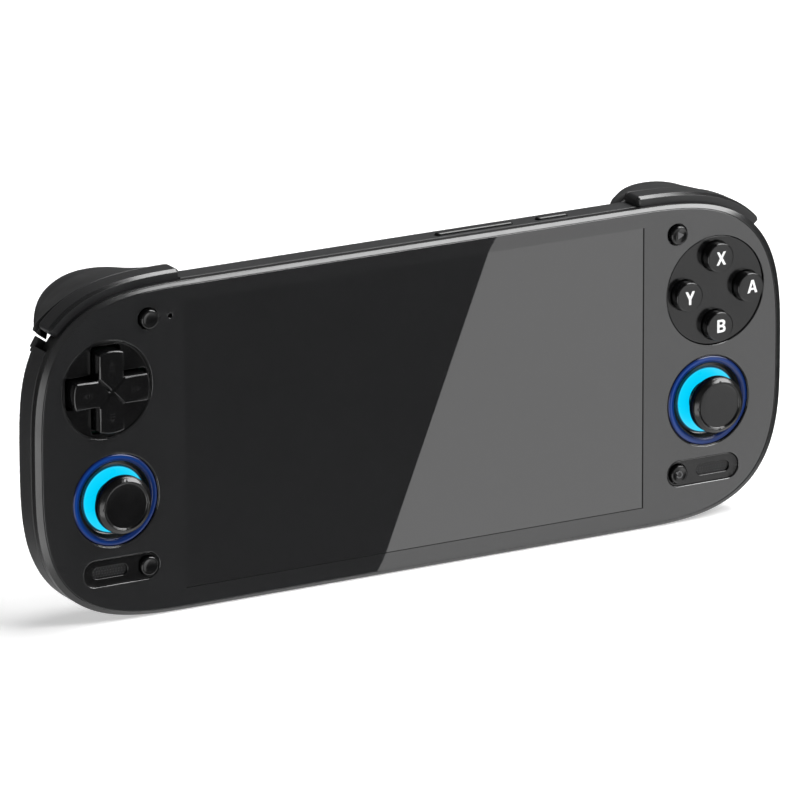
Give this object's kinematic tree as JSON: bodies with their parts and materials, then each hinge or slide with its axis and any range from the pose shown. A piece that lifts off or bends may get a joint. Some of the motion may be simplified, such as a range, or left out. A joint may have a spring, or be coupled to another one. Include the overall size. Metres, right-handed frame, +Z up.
{
  "type": "handheld game console",
  "caption": "Wide handheld game console with a landscape screen, D-pad, face buttons, lit thumbsticks, bumpers and analogue triggers.",
  "frame": {"origin": "middle of the underside of the overall box, on the surface that the console stands on", "axes": "+X to the right along the screen, +Z up the screen, -Y out of the screen towards the player"},
  "size_m": [0.2148, 0.0328, 0.0875],
  "materials": {
    "cover_glass": "polished, dark",
    "bevel_metal": "cut and polished bevel",
    "frame_dark": "dark satin",
    "screen": "dark panel",
    "chassis": "cast",
    "shell_black": "fine matt texture",
    "well_black": "satin",
    "key_black": "satin",
    "shoulder_black": "satin",
    "light_blue": "lit light guide",
    "light_cyan": "lit light guide",
    "cap_rubber": "matt",
    "membrane_rubber": "matt",
    "steel": "plain",
    "circuit": "solder mask",
    "copper": "plain copper",
    "battery_foil": "wrapped",
    "inner_black": "plain",
    "grille_metal": "dark"
  },
  "bodies": {
    "casing": {"abxy_membrane": "membrane_rubber", "abxy_well": "well_black", "audio_jack": "inner_black", "battery": "battery_foil", "bumper_pins": "steel", "control_board_l": "circuit", "control_board_r": "circuit", "cover_screws": "steel", "display_panel": "screen", "dpad_membrane": "membrane_rubber", "dpad_well": "well_black", "edge_trim": "bevel_metal", "fan_housing": "inner_black", "front_frame": "frame_dark", "front_glass": "cover_glass", "heatsink": "copper", "main_board": "circuit", "mid_plate": "chassis", "pill_trim_l": "well_black", "pill_trim_r": "well_black", "port_board": "circuit", "rear_cover": "shell_black", "side_key_board": "circuit", "speaker_l": "inner_black", "speaker_meshes": "grille_metal", "speaker_r": "inner_black", "stick_glow_l": "light_cyan", "stick_glow_r": "light_cyan", "stick_module_l": "inner_black", "stick_module_r": "inner_black", "stick_ring_l": "light_blue", "stick_ring_r": "light_blue", "stick_well_l": "well_black", "stick_well_r": "well_black", "trigger_pins": "steel", "trigger_springs": "steel", "usb_port": "steel"},
    "dpad_pivot": {"dpad_pivot_ball": "steel"},
    "dpad": {"dpad": "key_black"},
    "fan_impeller": {"fan_impeller": "inner_black"},
    "volume_rocker": {"volume_rocker": "key_black"},
    "power_button": {"power_button": "key_black"},
    "button_a": {"button_a": "key_black"},
    "button_b": {"button_b": "key_black"},
    "button_x": {"button_x": "key_black"},
    "button_y": {"button_y": "key_black"},
    "select_button": {"select_button": "key_black"},
    "start_button": {"start_button": "key_black"},
    "home_button": {"home_button": "key_black"},
    "back_button": {"back_button": "key_black"},
    "l1_button": {"l1_button": "shoulder_black"},
    "r1_button": {"r1_button": "shoulder_black"},
    "l2_trigger": {"l2_trigger": "shoulder_black"},
    "r2_trigger": {"r2_trigger": "shoulder_black"},
    "stick_gimbal_l": {"stick_gimbal_l": "steel"},
    "stick_shaft_l": {"stick_shaft_l": "key_black"},
    "stick_cap_l": {"stick_cap_l": "cap_rubber"},
    "stick_gimbal_r": {"stick_gimbal_r": "steel"},
    "stick_shaft_r": {"stick_shaft_r": "key_black"},
    "stick_cap_r": {"stick_cap_r": "cap_rubber"}
  },
  "joints": [
    {"name": "dpad_rock_up_down", "type": "hinge", "parent": "casing", "child": "dpad_pivot", "pos_m": [-0.0876, -0.0058, 0.0603], "axis": [1, 0, 0], "range_deg": [-5, 5], "stiffness_Nm_per_rad": 0.04},
    {"name": "dpad_rock_left_right", "type": "hinge", "parent": "dpad_pivot", "child": "dpad", "pos_m": [-0.0876, -0.0058, 0.0603], "axis": [0, 0, 1], "range_deg": [-5, 5], "stiffness_Nm_per_rad": 0.04},
    {"name": "button_a_press", "type": "slide", "parent": "casing", "child": "button_a", "axis": [0, 1, 0], "range_m": [0, 0.0012], "stiffness_N_per_m": 400},
    {"name": "button_b_press", "type": "slide", "parent": "casing", "child": "button_b", "axis": [0, 1, 0], "range_m": [0, 0.0012], "stiffness_N_per_m": 400},
    {"name": "button_x_press", "type": "slide", "parent": "casing", "child": "button_x", "axis": [0, 1, 0], "range_m": [0, 0.0012], "stiffness_N_per_m": 400},
    {"name": "button_y_press", "type": "slide", "parent": "casing", "child": "button_y", "axis": [0, 1, 0], "range_m": [0, 0.0012], "stiffness_N_per_m": 400},
    {"name": "select_press", "type": "slide", "parent": "casing", "child": "select_button", "axis": [0, 1, 0], "range_m": [0, 0.00025], "stiffness_N_per_m": 800},
    {"name": "start_press", "type": "slide", "parent": "casing", "child": "start_button", "axis": [0, 1, 0], "range_m": [0, 0.00025], "stiffness_N_per_m": 800},
    {"name": "home_press", "type": "slide", "parent": "casing", "child": "home_button", "axis": [0, 1, 0], "range_m": [0, 0.00025], "stiffness_N_per_m": 800},
    {"name": "back_press", "type": "slide", "parent": "casing", "child": "back_button", "axis": [0, 1, 0], "range_m": [0, 0.00025], "stiffness_N_per_m": 800},
    {"name": "stick_l_tilt_up_down", "type": "hinge", "parent": "casing", "child": "stick_gimbal_l", "pos_m": [-0.0855, -0.0023, 0.0315], "axis": [1, 0, 0], "range_deg": [-11.3, 11.3], "stiffness_Nm_per_rad": 0.03},
    {"name": "stick_l_tilt_left_right", "type": "hinge", "parent": "stick_gimbal_l", "child": "stick_shaft_l", "pos_m": [-0.0855, -0.0023, 0.0315], "axis": [0, 0, 1], "range_deg": [-11.3, 11.3], "stiffness_Nm_per_rad": 0.03},
    {"name": "stick_l_click", "type": "slide", "parent": "stick_shaft_l", "child": "stick_cap_l", "axis": [0, 1, 0], "range_m": [0, 0.0003], "stiffness_N_per_m": 1500},
    {"name": "stick_r_tilt_up_down", "type": "hinge", "parent": "casing", "child": "stick_gimbal_r", "pos_m": [0.0855, -0.0023, 0.0315], "axis": [1, 0, 0], "range_deg": [-11.3, 11.3], "stiffness_Nm_per_rad": 0.03},
    {"name": "stick_r_tilt_left_right", "type": "hinge", "parent": "stick_gimbal_r", "child": "stick_shaft_r", "pos_m": [0.0855, -0.0023, 0.0315], "axis": [0, 0, 1], "range_deg": [-11.3, 11.3], "stiffness_Nm_per_rad": 0.03},
    {"name": "stick_r_click", "type": "slide", "parent": "stick_shaft_r", "child": "stick_cap_r", "axis": [0, 1, 0], "range_m": [0, 0.0003], "stiffness_N_per_m": 1500},
    {"name": "volume_rock", "type": "hinge", "parent": "casing", "child": "volume_rocker", "pos_m": [0.0193, -0.0054, 0.0825], "axis": [0, 1, 0], "range_deg": [-1.5, 1.5], "stiffness_Nm_per_rad": 0.1},
    {"name": "power_press", "type": "slide", "parent": "casing", "child": "power_button", "axis": [0, 0, -1], "range_m": [0, 0.0003], "stiffness_N_per_m": 800},
    {"name": "l1_press", "type": "hinge", "parent": "casing", "child": "l1_button", "pos_m": [-0.0682, -0.0053, 0.0829], "axis": [0, -1, 0], "range_deg": [0, 2], "stiffness_Nm_per_rad": 0.5},
    {"name": "l2_pull", "type": "hinge", "parent": "casing", "child": "l2_trigger", "pos_m": [-0.075, 0.0003, 0.0809], "axis": [-1, 0, 0], "range_deg": [0, 10], "stiffness_Nm_per_rad": 0.06},
    {"name": "r1_press", "type": "hinge", "parent": "casing", "child": "r1_button", "pos_m": [0.0682, -0.0053, 0.0829], "axis": [0, 1, 0], "range_deg": [0, 2], "stiffness_Nm_per_rad": 0.5},
    {"name": "r2_pull", "type": "hinge", "parent": "casing", "child": "r2_trigger", "pos_m": [0.075, 0.0003, 0.0809], "axis": [-1, 0, 0], "range_deg": [0, 10], "stiffness_Nm_per_rad": 0.06},
    {"name": "fan_spin", "type": "hinge", "parent": "casing", "child": "fan_impeller", "pos_m": [0.033, -0.0014, 0.0635], "axis": [0, 1, 0], "continuous": true}
  ]
}
